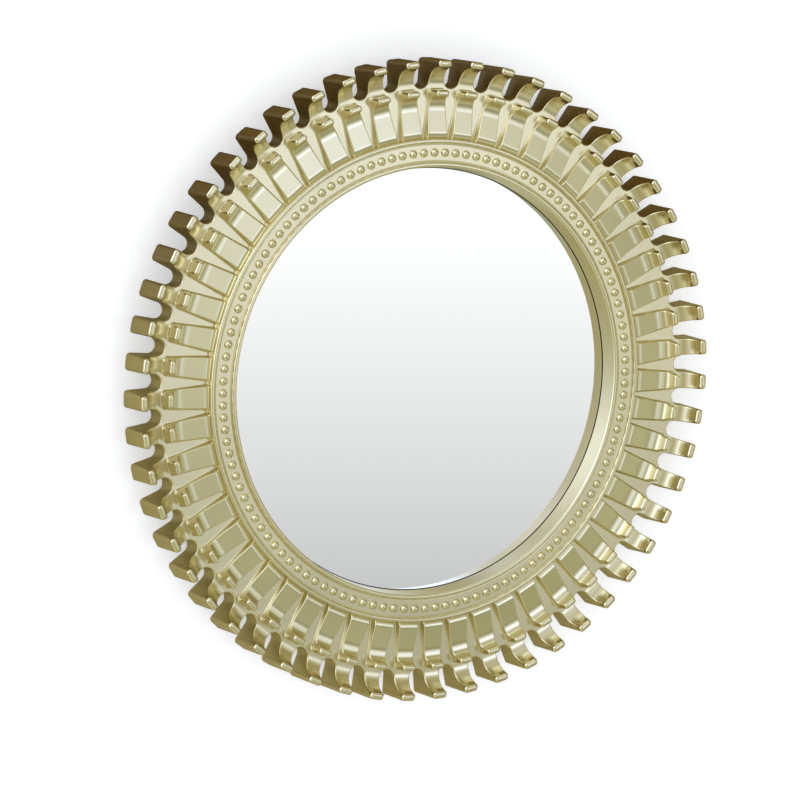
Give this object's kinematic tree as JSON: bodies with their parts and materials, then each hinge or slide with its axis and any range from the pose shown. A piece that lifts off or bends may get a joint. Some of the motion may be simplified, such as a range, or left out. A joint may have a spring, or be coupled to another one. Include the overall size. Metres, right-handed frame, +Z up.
{
  "type": "wall mirror",
  "caption": "Round wall mirror in a moulded gold frame: a beaded ring round the glass and two tiers of curled sunburst fingers. Hangs by a keyhole in its back panel.",
  "frame": {"origin": "centre of the back panel's rear face, which lies flat on the wall in the plane Y = 0", "axes": "+Z up the wall, +X to the right as seen from the room, -Y out of the wall, the way the glass faces"},
  "size_m": [0.2496, 0.02, 0.2496],
  "materials": {
    "champagne_gold": "satin metallic champagne-gold lacquer on moulded plastic",
    "silvered_glass": "polished mirror",
    "black_plastic": "matt black with a fine grain"
  },
  "bodies": {
    "root": {"frame": "champagne_gold", "mirror_glass": "silvered_glass", "back_panel": "black_plastic"}
  },
  "joints": []
}
